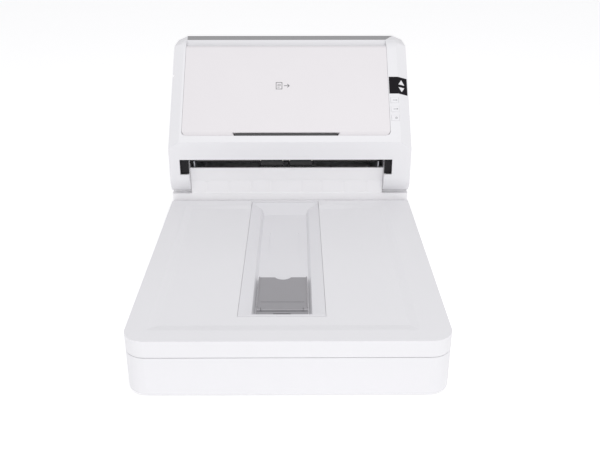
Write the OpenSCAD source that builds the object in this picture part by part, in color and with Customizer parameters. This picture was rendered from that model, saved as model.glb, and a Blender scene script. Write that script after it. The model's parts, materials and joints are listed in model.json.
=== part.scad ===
// Document scanner: a flatbed base with a lifting lid, and a sheet feeder on its rear plinth.
// Millimetres. X runs across the machine, Y from front to back and Z up from the table.
// Most outlines are drawn in bench places: y from the base's front edge, z from the table.

/* [Base] */
// Width of the base and of the lid
base_w = 318; // [316:1:322]
// Depth of the base from front to back
base_d = 511; // [509:1:515]
// Height of the base tub's top edge above the table
base_top = 45; // [44.8:0.1:45.2]
// Radius of the base's front corners, seen from above
front_r = 22; // [16:1:26]
// Radius of the base's rear corners, seen from above
rear_r = 10; // [6:1:14]
// Thickness of the moulded walls
wall = 2.5; // [2.2:0.1:2.8]
// Height of the rubber feet under the tub
foot_h = 3; // [2.8:0.1:3.2]

/* [Lid] */
// Height of the lid's rim above the table
lid_top = 64; // [63.8:0.1:64.4]
// Depth of the shallow dish in the lid
dish_drop = 2.5; // [1.5:0.1:3]

/* [Flatbed] */
// Width of the platen glass
glass_w = 226; // [222:1:230]
// Length of the platen glass
glass_l = 309; // [305:1:312]
// Centre distance of the flatbed drive's motor from the belt pulley
drive_mesh = 19.2; // [19.2:0.02:19.3]

/* [Feeder] */
// Centre line of the paper path across the machine
path_x = -5; // [-5.5:0.5:-4.5]
// Height at which the vertical nose turns into the sloping face
nose_z = 148; // [147.5:0.5:148.5]
// Height of the feeder's top above the table
feeder_top = 256; // [255.8:0.1:257]
// Width of a sheet stack between the side guides
sheet_w = 242; // [238:1:242]

/* [Paper stop] */
// Width of the flip-up paper stop
stop_w = 53.7; // [52:0.1:54]
// Length of the stop from its hinge to its free end
stop_l = 69.5; // [66:0.5:72]

/* [Hidden] */
$fn = 64;
eps = 0.5;
half_w = base_w / 2;
// Clearances
run_gap = 0.05;
key_gap = 0.15;
// Heights in the base
floor_z = foot_h + wall;
deck_z0 = 40.5;
deck_z1 = 44.5;
glass_t = 3;
glass_y = 18;
glass_lip = 4;
plinth_z = 71.5;
plinth_y = 350.5;
// Lid
lid_z0 = base_top + 0.5;
lid_axis = [341.5, 56];
lid_rear_r = lid_top - lid_axis[1];
hinge_xs = [-105, 105];
dish_x0 = -138;
dish_x1 = 128;
dish_y0 = 20;
dish_y1 = 327;
under_dish = lid_top - dish_drop - wall;
channel_y0 = 49;
channel_y1 = 340.5;
channel_floor = 52.5;
channel_x = -6.8;
channel_half = 44.5;
channel_gap = 0.3;
floor_half = 28;
stop_axis = [70, 56];
stop_bar_half = 22;
stop_pin_r = 1.25;
// Flatbed drive
rod = [-120, 20];
rod_r = 4;
pulley_x = -138;
drive_y = 372;
idler_y = 18;
belt_r = 5.9;
carriage_y = 24;
carriage_d = 28;
gear_mod = 0.8;
gear_teeth = 36;
pinion_teeth = 12;
// Feeder door
face_tilt = 45;
feeder_half = 158.8;
door_axis = [362, 98];
disc_r = 24;
nose_y = door_axis[0] - disc_r;
left_wall = -133.5;
right_wall = 124.5;
recess_x0 = -141.7;
recess_x1 = 131.7;
recess_w0 = 9.5;
recess_w1 = 88;
recess_d = 5.5;
ear_top = feeder_top - 0.5;
ear_r = 25;
ear_c = [455.9, ear_top - ear_r];
bevel_x = 144.7;
bevel_drop = 6.7;
bevel_run = feeder_half - bevel_x;
bevel_tilt = atan(bevel_drop / bevel_run);
// Input tray
tray_w1 = 142;
tray_axis_d = 7.3;
tray_t = 4.8;
tray_skin = 1.8;
tray_gap = 0.3;
tray_corner = 7.8;
recess_corner = 6.8;
guide_w = 104;
notch_half = 66.6;
grip_half = 69;
rack_pitch_r = 7;
// Paper path: its tilts at the exit and under the feed roller, its start, bend and lengths
exit_tilt = 29;
feed_tilt = 58.5;
path_e = [344, 118];
exit_run = 46;
path_k = path_e + exit_run * [cos(exit_tilt), sin(exit_tilt)];
guide_x0 = path_x - 121.6;
guide_x1 = path_x + 121.6;
// Rollers: centre and radius
exit_c = [357.9, 116.5];
transport_c = [406.4, 161.4];
feed_c = [422.7, 184.3];
exit_pinch_c = [351.6, 127.9];
transport_pinch_c = [395.3, 168.2];
separation_c = [407.8, 193.4];
motor_c = [440, 130];
drive_r = 8;
feed_r = 10;
pinch_r = 4.85;
separation_r = 7.3;
shaft_r = 2.5;
pinch_shaft_r = 1.5;
pulley_r = 5;
motor_pulley_r = 4;
latch_axis = [430, 226];
// Screw posts, feet and sockets
post_x = 151;
post_r = 5;
foot_r = 9;
foot_peg_r = 4;
screw_r = 1.5;
post_places = [for (x = [-post_x, post_x], y = [62, 200, 332, 480]) [x, y]];
screw_places = [for (x = [-post_x, post_x], y = [62, 480]) [x, y]];
foot_places = [for (x = [-130, 130], y = [40, 470]) [x, y]];
usb_x = 30;
dc_x = 70;
dc_z = 19.5;
dc_r = 5.2;
lock_x = -140;
lock_z = 58;
// Housing outlines, as [y, z] points
housing_lean = 0.5541;
housing_front = [
    [386.6, plinth_z],
    [386.6, 98],
    [392.6, 140],
    [392.6 + (feeder_top - 140) * housing_lean, feeder_top]
];
housing_back = [[490, feeder_top], [501, feeder_top - 11], [base_d, plinth_z]];
hollow_back = [
    [base_d - wall - 0.2, 60],
    [498.6, 244],
    [489, feeder_top - wall],
    [460.3, feeder_top - wall]
];
side_top = feeder_top - bevel_drop - wall - 1;
rest_foot = [450.5, 239.7];
rest_top = [458.8, feeder_top];
// Keys and window at the right of the face
key_x0 = 133.8;
key_x1 = 144.2;
key_half = 4;
key_ws = [35.4, 48.5, 61.9];
// Base lines and points of the two arrow keys, up the face
arrow_ws = [[81.9, 75.3], [86, 93.2]];
arrow_half = 4.5;
arrow_in = 5.1;
window_x0 = 132.8;
window_ws = [72, 97.4];
// Sides of the tray and its lower edge
tray_x0 = recess_x0 + tray_gap;
tray_x1 = recess_x1 - tray_gap;
tray_w0 = recess_w0 + tray_gap;
trunnion_r = 2.5;
// Thickness of the side frames, and the lanes of the drive belts beside them
frame_t = 1.4;
motor_x = guide_x1 - 22;
right_lane = [guide_x1 + 1.9, guide_x1 + 5.9];
left_lane = [guide_x0 - 5.9, guide_x0 - 1.9];
// Offsets of the rubber rollers from the path's centre line
exit_off = 19.2;
transport_off = 52;
sensor_half = 112;

// A point on the sloping face: w up the slope from the nose, d inwards from the face
function on_slope(w, d) = [nose_y + (w + d) * cos(face_tilt), nose_z + (w - d) * sin(face_tilt)];
// A point of the paper path: s along it from the exit end, o towards the door
function feed_point(s, o) = s < exit_run
    ? path_e + s * [cos(exit_tilt), sin(exit_tilt)] + o * [-sin(exit_tilt), cos(exit_tilt)]
    : path_k + (s - exit_run) * [cos(feed_tilt), sin(feed_tilt)] + o * [-sin(feed_tilt), cos(feed_tilt)];
// Points along an arc
function arc(c, r, a0, a1, n) = [
    for (i = [0:n]) let (a = a0 + (a1 - a0) * i / n) c + r * [cos(a), sin(a)]
];
// How far up the path's upper stretch a roller sits
function path_place(c) = (c - path_k) * [cos(feed_tilt), sin(feed_tilt)];
// Axis that the tray unfolds about
tray_axis = on_slope(tray_w1, tray_axis_d);

// Places bench drawings in the part's own frame, whose origin is the middle of the footprint
module bench() translate([0, -base_d / 2, 0]) children();
// Extrudes a side outline of [y, z] points across the machine
module across(x0, x1) translate([x0, 0, 0]) rotate([90, 0, 90])
    linear_extrude(height = x1 - x0) children();
// Extrudes a front outline of [x, z] points from y0 to y1
module along(y0, y1) translate([0, y1, 0]) rotate([90, 0, 0]) linear_extrude(height = y1 - y0) children();
// The sloping face's own frame: x across, y up the slope, z outwards
module on_face() translate([0, nose_y, nose_z]) rotate([face_tilt, 0, 0]) children();
// The bevelled strip at the right of the face: x down the bevel, z outwards
module on_bevel() on_face() translate([bevel_x, 0, 0]) rotate([0, bevel_tilt, 0]) children();
// A box between two corners
module block(a, b) translate(a) cube(b - a);
// A rod across the machine at a side-view centre
module rod_at(c, r, x0, x1) translate([x0, c[0], c[1]]) rotate([0, 90, 0]) cylinder(r = r, h = x1 - x0);
// The frame of the paper path's upper stretch: y along the path from its bend, z to the door
module on_path() translate([0, path_k[0], path_k[1]]) rotate([feed_tilt, 0, 0]) children();

// The base's outline seen from above, drawn in from the edge by i
module plan(i = 0) {
    w = half_w - i;
    rf = front_r - i;
    rr = rear_r - i;
    translate([-w, i + rf]) square([2 * w, base_d - 2 * i - rf - rr]);
    translate([-w + rf, i]) square([2 * (w - rf), rf + 1]);
    translate([-w + rr, base_d - i - rr - 1]) square([2 * (w - rr), rr + 1]);
    for (s = [-1, 1]) {
        translate([s * (w - rf), i + rf]) circle(r = rf);
        translate([s * (w - rr), base_d - i - rr]) circle(r = rr);
    }
}

// Involute gear outline
function inv(r, rb) = r <= rb ? 0 : sqrt(pow(r / rb, 2) - 1) * 180 / PI - acos(rb / r);
module gear_outline(teeth, mod, play) {
    rp = teeth * mod / 2;
    rb = rp * cos(20);
    radii = [rp - 1.15 * mod, rb + 0.1 * mod, rp, rp + 0.4 * mod, rp + 0.75 * mod];
    half_pitch = 90 / teeth - play / rp * 90 / PI;
    flank = [for (r = radii) [r, half_pitch + inv(rp, rb) - inv(r, rb)]];
    polygon([
        for (t = [0:teeth - 1])
            for (k = [0:9]) let (f = k < 5 ? flank[k] : flank[9 - k], side = k < 5 ? -1 : 1)
                f[0] * [cos(t * 360 / teeth + side * f[1]), sin(t * 360 / teeth + side * f[1])]
    ]);
}

/* ---- Base ---- */

module base_tub() color("whitesmoke") bench() {
    difference() {
        union() {
            difference() {
                translate([0, 0, foot_h]) linear_extrude(height = base_top - foot_h) plan();
                translate([0, 0, floor_z]) linear_extrude(height = base_top) plan(wall);
            }
            for (p = post_places) translate([p[0], p[1], floor_z]) cylinder(r = post_r, h = deck_z0 - floor_z);
            // Rod supports and the slide rail
            for (y = [11, 345]) block([rod[0] - 6, y, floor_z], [rod[0] + 6, y + 6, rod[1] + 6]);
            block([110, 12, floor_z], [116, 345, 13.8]);
        }
        rod_y(rod[0], rod[1], rod_r, 12, 350);
        for (p = foot_places) translate([p[0], p[1], 0]) cylinder(r = foot_peg_r, h = floor_z + 1);
        for (p = screw_places) translate([p[0], p[1], 0]) {
            cylinder(r = 3.6, h = 5);
            cylinder(r = screw_r, h = 24);
        }
        // Sockets at the back
        block([usb_x - 6.4, base_d - wall - 1, 13.5], [usb_x + 6.4, base_d + 1, 25]);
        rod_y(dc_x, dc_z, dc_r, base_d - wall - 1, base_d + 1);
    }
}
// A rod that runs from front to back
module rod_y(x, z, r, y0, y1) translate([x, y0, z]) rotate([-90, 0, 0]) cylinder(r = r, h = y1 - y0);

module rubber_feet() color("dimgray") bench() for (p = foot_places) translate([p[0], p[1], 0]) {
    cylinder(r = foot_r, h = foot_h);
    cylinder(r = foot_peg_r, h = floor_z);
}

module housing_screws() color("silver") bench() for (p = screw_places) translate([p[0], p[1], 0]) {
    difference() {
        translate([0, 0, 3.4]) cylinder(r = 3.2, h = 1.6);
        for (a = [0, 90]) rotate([0, 0, a]) block([-2, -0.4, 3], [2, 0.4, 4.2]);
    }
    translate([0, 0, 4.5]) cylinder(r = screw_r, h = 19.5);
}

module platen_frame() color("whitesmoke") bench() {
    difference() {
        translate([0, 0, deck_z0]) linear_extrude(height = deck_z1 - deck_z0) plan(wall);
        block([-glass_w / 2, glass_y, deck_z0 - 1], [glass_w / 2, glass_y + glass_l, deck_z0 + glass_t]);
        block(
            [-glass_w / 2 + glass_lip, glass_y + glass_lip, deck_z0],
            [glass_w / 2 - glass_lip, glass_y + glass_l - glass_lip, deck_z1 + 1]
        );
        block([-60, 380, deck_z0 - 1], [90, 490, deck_z1 + 1]);
    }
    for (x = hinge_xs) difference() {
        across(x - 5, x + 5) {
            translate(lid_axis) circle(r = 4.8);
            polygon([
                [328, deck_z1 - eps], [337, deck_z1 - eps], [338.6, 48],
                [lid_axis[0] - 1.5, lid_axis[1] - 4.4], [lid_axis[0] - 4.4, lid_axis[1] + 1]
            ]);
        }
        rod_at(lid_axis, 2, x - 6, x + 6);
    }
}

module platen_glass() color("slategray") bench()
    block([-glass_w / 2, glass_y, deck_z0], [glass_w / 2, glass_y + glass_l, deck_z0 + glass_t]);

module lid_hinge_pins() color("silver") bench() for (x = hinge_xs) rod_at(lid_axis, 2, x - 11, x + 11);

module guide_rod() color("silver") bench() rod_y(rod[0], rod[1], rod_r, 12, 350);

// A belt round two equal pulleys, in plan
module belt_loop(r) {
    for (y = [idler_y, drive_y]) translate([pulley_x, y]) circle(r = r);
    translate([pulley_x - r, idler_y]) square([2 * r, drive_y - idler_y]);
}
module carriage_belt() color("dimgray") bench()
    translate([0, 0, 30]) linear_extrude(height = 6) difference() {
        belt_loop(belt_r + 0.6);
        belt_loop(belt_r - 0.3);
    }

// A belt pulley between two flanges, on a vertical pin
module belt_pulley(z0, r) {
    translate([0, 0, z0]) cylinder(r = r - 0.6, h = 6);
    for (z = [z0 - 1.2, z0 + 6.2]) translate([0, 0, z]) cylinder(r = r + 0.9, h = 1);
    translate([0, 0, z0 - 1.2]) cylinder(r = r - 1.2, h = 8.4);
}
module pulley_bore(h0, h1) translate([0, 0, h0]) cylinder(r = 1.5 + run_gap, h = h1 - h0);

module drive_pulley() color("ivory") bench() translate([pulley_x, drive_y, 0]) difference() {
    union() {
        belt_pulley(30, belt_r);
        translate([0, 0, 24.6]) linear_extrude(height = 4.4) gear_outline(gear_teeth, gear_mod, 0.18);
    }
    pulley_bore(20, 40);
}
module idler_pulley() color("ivory") bench() translate([pulley_x, idler_y, 0]) difference() {
    belt_pulley(30, belt_r);
    pulley_bore(20, 40);
}
module motor_pinion() color("goldenrod") bench() translate([pulley_x + drive_mesh, drive_y, 0])
    rotate([0, 0, 180 / pinion_teeth]) difference() {
        translate([0, 0, 25.2]) linear_extrude(height = 5) gear_outline(pinion_teeth, gear_mod, 0.18);
        translate([0, 0, 24]) cylinder(r = 1 + run_gap, h = 8);
    }
// The stepper motor of the flatbed, with the two pulley pins on its mounting strip
module flatbed_motor() color("darkgray") bench() {
    translate([pulley_x + drive_mesh, drive_y, 0]) {
        translate([0, 0, floor_z]) cylinder(r = 17, h = 17);
        translate([0, 0, 22]) cylinder(r = 1, h = 8);
    }
    block([-150, drive_y - 8, 22.5], [pulley_x + drive_mesh + 12, drive_y + 8, 23.6]);
    block([-150, drive_y - 8, floor_z], [-148.4, drive_y + 8, 22.5]);
    translate([pulley_x, drive_y, 23.6]) cylinder(r = 1.5, h = 14.5);
    translate([pulley_x, idler_y, floor_z]) cylinder(r = 5, h = 20);
    translate([pulley_x, idler_y, floor_z + 20]) cylinder(r = 1.5, h = 12.6);
}

module carriage_frame() color("black") bench() difference() {
    union() {
        block([-126, carriage_y, 14], [118, carriage_y + carriage_d, 30]);
        block([-116, carriage_y, 28], [116, carriage_y + carriage_d, 34]);
        block([-131, carriage_y + 4, 29], [-124, carriage_y + carriage_d - 4, 37]);
    }
    block([-112, carriage_y + 4, 20], [112, carriage_y + carriage_d - 4, 35]);
    rod_y(rod[0], rod[1], rod_r + run_gap, carriage_y - 1, carriage_y + carriage_d + 1);
}
module flatbed_sensor_bar() color("darkslategray") bench() {
    block([-112, carriage_y + 7, 20], [112, carriage_y + carriage_d - 7, 39.9]);
    for (x = [-112, 106]) block([x, carriage_y + 4, 20], [x + 6, carriage_y + carriage_d - 4, 26]);
}

module main_board() color("seagreen") bench() {
    block([-60, 400, 12], [120, 504, 13.6]);
    for (x = [-50, 20, 85], y = [410, 450]) block([x, y, 13.6], [x + 18, y + 18, 16]);
    for (x = [-55, 55, 112], y = [404, 496]) translate([x, y, floor_z]) cylinder(r = 3, h = 12 - floor_z);
}
// A square type B socket, with its tongue set back from the mouth
module usb_socket() color("silver") bench() {
    difference() {
        block([usb_x - 6, 493, 13.6], [usb_x + 6, base_d, 24.5]);
        block([usb_x - 4.2, 495, 15.2], [usb_x + 4.2, base_d + 1, 23.1]);
    }
    block([usb_x - 2.8, 495, 17.6], [usb_x + 2.8, base_d - 4.6, 20.8]);
}
module dc_inlet() color("black") bench() {
    difference() {
        union() {
            block([dc_x - 7, 492, 13.6], [dc_x + 7, base_d - wall, 26]);
            rod_y(dc_x, dc_z, dc_r, base_d - wall - eps, base_d);
        }
        rod_y(dc_x, dc_z, 3.4, 498, base_d + 1);
    }
    rod_y(dc_x, dc_z, 1, 497, base_d - 4.4);
}

/* ---- Rear plinth and housing ---- */
module rear_plinth() color("whitesmoke") bench() difference() {
    union() {
        intersection() {
            translate([0, 0, base_top]) linear_extrude(height = plinth_z - base_top) plan();
            block([-half_w, plinth_y, 0], [half_w, base_d, 100]);
        }
        // Cove that the lid's rear edge turns in
        across(-half_w, half_w) difference() {
            translate([lid_axis[0], base_top])
                square([plinth_y - lid_axis[0] + eps, lid_axis[1] - base_top]);
            translate(lid_axis) circle(r = lid_rear_r + 0.6);
        }
        // Cradles that the door's cheeks turn in
        for (x = [[-feeder_half, left_wall - 1], [right_wall + 1, feeder_half]])
            block([x[0], 357.5, plinth_z - 1], [x[1], 372, 77]);
    }
    intersection() {
        translate([0, 0, base_top - 1]) linear_extrude(height = plinth_z - base_top + 1 - wall) plan(wall);
        block([-half_w, plinth_y + wall, 0], [half_w, base_d, 100]);
    }
    // Clearance of the door's round cheeks over the cradles
    rod_at(door_axis, disc_r + 0.6, -half_w, half_w);
    // Cable way, and the slot for a security lock
    block([20, 420, 60], [60, 460, 80]);
    block(
        [lock_x - 3.5, base_d - wall - 1, lock_z - 1.5],
        [lock_x + 3.5, base_d + 1, lock_z + 1.5]
    );
}

module bevel_strips(y0, y1, z) for (s = [-1, 1]) along(y0, y1)
    polygon([
        [s * bevel_x, z], [s * (feeder_half + 1), z - bevel_drop * (bevel_run + 1) / bevel_run],
        [s * (feeder_half + 1), z + 1], [s * bevel_x, z + 1]
    ]);

module rear_housing() color("whitesmoke") bench() difference() {
    union() {
        for (x = [[-feeder_half, recess_x0], [recess_x1, feeder_half]])
            across(x[0], x[1]) polygon(concat(housing_front, housing_back));
        across(recess_x0 - eps, recess_x1 + eps)
            polygon(concat([rest_foot, rest_top], housing_back, [[460, plinth_z]]));
    }
    across(recess_x0, recess_x1)
        polygon(concat([[360, 60]], hollow_back, [[453.2, rest_foot[1]], [360, rest_foot[1]]]));
    for (x = [[-feeder_half + wall, recess_x0 + eps], [recess_x1 - eps, feeder_half - wall]])
        across(x[0], x[1]) polygon([
            [380, 60], hollow_back[0], hollow_back[1] - [0, 6], [489, side_top],
            [458, side_top], [446, 225], [380, 100]
        ]);
    bevel_strips(380, 520, feeder_top);
    // Cooling slots in the back, and the window of the door latch
    for (i = [-6:6]) block([i * 12 - 2, 490, 190], [i * 12 + 2, 515, 215]);
    across(-154.6, -146.4)
        polygon([[420, 200], [437, 200], [444, 220.8], [456, 220.8], [456, 240], [430, 240]]);
}

module side_frames() color("gray") bench() for (x = [guide_x0 - frame_t, guide_x1]) difference() {
    across(x, x + frame_t) {
        polygon([
            [372, plinth_z], [470, plinth_z], [470, 170], feed_point(153, -14), feed_point(153, -2.2),
            feed_point(exit_run, -2.2), feed_point(4, -2.2), [351, 110], [356, 104], [372, 98]
        ]);
    }
    for (c = [exit_c, transport_c, feed_c]) rod_at(c, shaft_r + run_gap, x - 1, x + 3);
    rod_at(motor_c, 3, x - 1, x + 3);
    rod_at([416, 110], 12, x - 1, x + 3);
}

// A plate that follows the upper stretch of the paper path
module path_plate(s0, s1, o0, o1, x0, x1) on_path() block([x0, s0, o0], [x1, s1, o1]);

// An opening for a transport roller, at a place across and reaching far along the path
module transport_window(x, far, o0, o1) on_path()
    block([x - 10, path_place(transport_c) - far, o0], [x + 10, path_place(transport_c) + far, o1]);

module paper_guide() color("lightgray") bench() difference() {
    across(guide_x0, guide_x1) polygon([
        feed_point(6, -1), feed_point(exit_run, -1), feed_point(exit_run + 111, -1),
        feed_point(exit_run + 111, -2.2), feed_point(exit_run, -2.2), feed_point(6, -2.2)
    ]);
    on_path() block([path_x - 112.5, 0.4, -4], [path_x + 112.5, 17, 1]);
    on_path() block([path_x - 18, path_place(feed_c) - 9, -4], [path_x + 18, path_place(feed_c) + 9, 1]);
    for (s = [-1, 1]) {
        transport_window(path_x + s * transport_off, 7, -4, 1);
        rod_at(exit_c, drive_r + 0.8, path_x + s * exit_off - 16, path_x + s * exit_off + 16);
    }
}

// Chute under the exit: a leaning lip over an upright wall with soft grooves
module exit_chute() color("whitesmoke") bench() difference() {
    union() {
        difference() {
            across(-133.2, 124.2) polygon([
                [348.6, 108.8], [351.2, 90.4], [351.6, 90], [351.6, plinth_z],
                [354.4, plinth_z], [354.4, 90], [351.6, 108.8]
            ]);
            for (x = [-107, -77, -47, -20, 20, 47, 77, 107])
                block([path_x + x - 1.6, 340, 72.4], [path_x + x + 1.6, 352.4, 88.6]);
        }
        // Ears that carry the door's hinge pins
        for (x = [-133.2, 121.7]) across(x, x + 2.5) {
            translate(door_axis) circle(r = 8);
            polygon([[354, plinth_z], [372, plinth_z], [369, 98], [354, 98]]);
        }
    }
    rod_at(door_axis, 3, -140, 140);
}
module door_hinge_pins() color("silver") bench() {
    rod_at(door_axis, 3, -135.6, -130.5);
    rod_at(door_axis, 3, 121.5, 126.6);
}

/* ---- Feeder: fixed sensor and drive ---- */
module rear_sensor_bar() color("darkslategray") bench() {
    path_plate(0.7, 16.7, -13, -2, path_x - sensor_half, path_x + sensor_half);
    path_plate(4, 12, -11, -6, guide_x0, guide_x1);
}
module rear_sensor_glass() color("slategray") bench()
    path_plate(0.7, 16.7, -2, -1, path_x - sensor_half, path_x + sensor_half);

module adf_motor() color("darkgray") bench() {
    rod_at(motor_c, 17.5, motor_x, guide_x1);
    rod_at(motor_c, 2.9, guide_x1 - eps, guide_x1 + 1.4);
    rod_at(motor_c, 1, guide_x1, guide_x1 + 6);
}

// A drive belt round listed circles, drawn as its outer skin less its inner one
module belt_skin(places, grow) hull() for (p = places) translate(p[0]) circle(r = p[1] + grow, $fn = 32);
module drive_belt(places, x0, x1) difference() {
    across(x0, x1) belt_skin(places, 1);
    across(x0 - 1, x1 + 1) belt_skin(places, 0.3);
}
module upper_drive_belt() color("dimgray") bench()
    drive_belt(
        [[transport_c, pulley_r], [feed_c, pulley_r], [motor_c, motor_pulley_r]],
        right_lane[0] + 0.6, right_lane[1] - 0.6
    );
module exit_drive_belt() color("dimgray") bench()
    drive_belt([[exit_c, pulley_r], [transport_c, pulley_r]], left_lane[0] + 0.6, left_lane[1] - 0.6);
module adf_motor_pulley() color("goldenrod") bench() difference() {
    lane_pulley(motor_c, motor_pulley_r, right_lane);
    rod_at(motor_c, 1 + run_gap, right_lane[0] - 1, right_lane[1] + 1);
}
// A pulley as wide as its lane, with a flange at each side
module lane_pulley(c, r, lane) {
    rod_at(c, r, lane[0], lane[1]);
    for (x = [lane[0], lane[1] - 0.5]) rod_at(c, r + 1.4, x, x + 0.5);
}

module feed_roller() color("darkslategray") bench() {
    rod_at(feed_c, shaft_r, guide_x0 - 1, right_lane[1]);
    rod_at(feed_c, feed_r, path_x - 17, path_x + 17);
    lane_pulley(feed_c, pulley_r, right_lane);
}
module transport_roller() color("darkslategray") bench() {
    rod_at(transport_c, shaft_r, left_lane[0], right_lane[1]);
    for (s = [-1, 1], x = path_x + s * transport_off) rod_at(transport_c, drive_r, x - 9, x + 9);
    lane_pulley(transport_c, pulley_r, right_lane);
    lane_pulley(transport_c, pulley_r, left_lane);
}
module exit_roller() color("darkslategray") bench() {
    rod_at(exit_c, shaft_r, left_lane[0], guide_x1 + 1.2);
    for (s = [-1, 1]) rod_at(exit_c, drive_r, path_x + s * exit_off - 14.8, path_x + s * exit_off + 14.8);
    lane_pulley(exit_c, pulley_r, left_lane);
}

/* ---- Flatbed lid ---- */
// The hollow under the dish, with sloping sides
module dish() intersection() {
    across(-half_w, half_w) polygon([
        [dish_y0, lid_top + 1], [dish_y0, lid_top], [dish_y0 + 12, lid_top - dish_drop],
        [dish_y1 - 8, lid_top - dish_drop], [dish_y1, lid_top], [dish_y1, lid_top + 1]
    ]);
    along(0, 400) polygon([
        [dish_x0, lid_top + 1], [dish_x0, lid_top], [dish_x0 + 9, lid_top - dish_drop],
        [dish_x1 - 9, lid_top - dish_drop], [dish_x1, lid_top], [dish_x1, lid_top + 1]
    ]);
}
module lid_shell() color("whitesmoke") bench() difference() {
    union() {
        difference() {
            intersection() {
                translate([0, 0, lid_z0]) linear_extrude(height = lid_top - lid_z0) plan();
                across(-half_w, half_w) polygon(concat(
                    [[0, lid_z0], [337, lid_z0], [349.5, 54.5]],
                    arc(lid_axis, lid_rear_r, 0, 90, 12), [[0, lid_top]]
                ));
            }
            intersection() {
                translate([0, 0, lid_z0 - 1]) linear_extrude(height = lid_top - lid_z0) plan(wall);
                across(-half_w, half_w) polygon(concat(
                    [[0, 40], [347, 40]], arc(lid_axis, lid_rear_r - wall, 0, 90, 12),
                    [[332, lid_top - wall], [332, under_dish], [0, under_dish]]
                ));
            }
            dish();
            block(
                [channel_x - channel_half - channel_gap, channel_y0 - 0.4, 40],
                [channel_x + channel_half + channel_gap, channel_y1 + 0.3, 70]
            );
        }
        // Hinge ears, and the ribs that hold the liner
        for (x = hinge_xs, s = [-1, 1]) across(x + (s < 0 ? -10.3 : 5.3), x + (s < 0 ? -5.3 : 10.3)) {
            translate(lid_axis) circle(r = 4.8);
            translate([lid_axis[0] - 4.8, lid_axis[1]]) square([9.6, lid_top - wall - lid_axis[1] + 0.3]);
        }
        for (x = [-120, -70, 62, 115]) block([x, 30, 49.5], [x + 2, 300, under_dish + 0.3]);
    }
    for (x = hinge_xs) rod_at(lid_axis, 2 + run_gap, x - 12, x + 12);
}
module lid_liner() color("gainsboro") bench() block([-118, 12, 47.6], [118, 320, 49.5]);
module document_pad() color("white") bench() block([-112, 16, 44.8], [112, 318, 47.6]);

// The channel's front outline, drawn lower by t
module channel_section(t) polygon([
    [channel_x - channel_half, 70], [channel_x - channel_half, lid_top - dish_drop - t],
    [channel_x - floor_half - 3 - t / 2, 57 - t], [channel_x - floor_half - t, channel_floor - t],
    [channel_x + floor_half + t, channel_floor - t], [channel_x + floor_half + 3 + t / 2, 57 - t],
    [channel_x + channel_half, lid_top - dish_drop - t], [channel_x + channel_half, 70]
]);
module channel_insert() color("gainsboro") bench() difference() {
    intersection() {
        along(channel_y0, channel_y1) channel_section(2);
        across(-100, 100) polygon([
            [channel_y0, lid_top - dish_drop], [channel_y0, 50], [320, 50], [channel_y1, 60],
            [channel_y1, 63.5], [326, 63.5], [324, lid_top - dish_drop]
        ]);
    }
    intersection() {
        along(channel_y0 - 1, channel_y1 + 1) channel_section(0);
        across(-100, 100) polygon([
            [channel_y0 + 3, 70], [channel_y0 + 4.5, 57], [channel_y0 + 9, channel_floor],
            [320, channel_floor], [channel_y1 + 1, 62.6], [channel_y1 + 1, 70]
        ]);
    }
    // Two short grooves in the floor
    for (x = [channel_x - 18, channel_x + 18])
        block([x - 0.6, 214, channel_floor - 0.6], [x + 0.6, 264, 60]);
}
module stop_bracket() color("darkgray") bench() difference() {
    union() {
        block([channel_x - 27, 58.6, channel_floor], [channel_x + 27, 66.4, 56.8]);
        block([channel_x - 27, 66, channel_floor], [channel_x + 27, 73, channel_floor + 0.9]);
        for (x = [channel_x - 24.4, channel_x + 24.4]) across(x - 2.1, x + 2.1) {
            translate(stop_axis) circle(r = 3.2);
            translate([stop_axis[0] - 3.2, channel_floor]) square([6.4, stop_axis[1] - channel_floor]);
        }
    }
    rod_at(stop_axis, stop_pin_r + run_gap, channel_x - 30, channel_x + 30);
    // Slot in front of the hinge
    block([channel_x - 9, 60, 55], [channel_x + 9, 62.5, 58]);
}
module paper_stop() color("darkgray") bench() {
    y0 = stop_axis[0];
    rim = 0.75;
    rim_x = stop_w / 2 - rim;
    difference() {
        union() {
            block([channel_x - stop_w / 2, y0 + 3.8, 55], [channel_x + stop_w / 2, y0 + stop_l, 57]);
            block([channel_x - stop_bar_half, y0, 55.1], [channel_x + stop_bar_half, y0 + 6, 57]);
            // Side rims and a cross rib
            for (x = [channel_x - rim_x, channel_x + rim_x])
                block([x - rim, y0 + 3.8, 55], [x + rim, y0 + stop_l, 57.8]);
            block(
                [channel_x - stop_w / 2 + 4, y0 + 15, 56.5],
                [channel_x + stop_w / 2 - 4, y0 + 16.2, 57.7]
            );
        }
        translate([channel_x, y0 + stop_l + 4.5, 50]) cylinder(r = 9.8, h = 10);
    }
    rod_at(stop_axis, 2.2, channel_x - stop_bar_half, channel_x + stop_bar_half);
    rod_at(stop_axis, stop_pin_r, channel_x - 26.2, channel_x + 26.2);
}

/* ---- Feeder door ---- */
// Side outline of a door cheek, drawn in from its edges by i
module cheek_outline(i = 0) {
    translate(door_axis) circle(r = disc_r - i);
    polygon(concat(
        [[nose_y + i, door_axis[1]], [nose_y + i, nose_z - 0.414 * i]],
        arc(ear_c, ear_r - i, 135, 90, 10),
        [[456 - 1.7 * i, ear_top - i], [392 - 1.08 * i, 140], [386 - i, door_axis[1]]]
    ));
}
// The hole of a triangular key, larger than the key all round
module arrow_hole(w, z0, h) {
    tip = sign(w[1] - w[0]);
    on_bevel() translate([0, 0, z0]) linear_extrude(height = h) polygon([
        [arrow_in - arrow_half - 2 * key_gap, w[0] - tip * key_gap],
        [arrow_in + arrow_half + 2 * key_gap, w[0] - tip * key_gap],
        [arrow_in, w[1] + 2 * tip * key_gap]
    ]);
}
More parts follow.
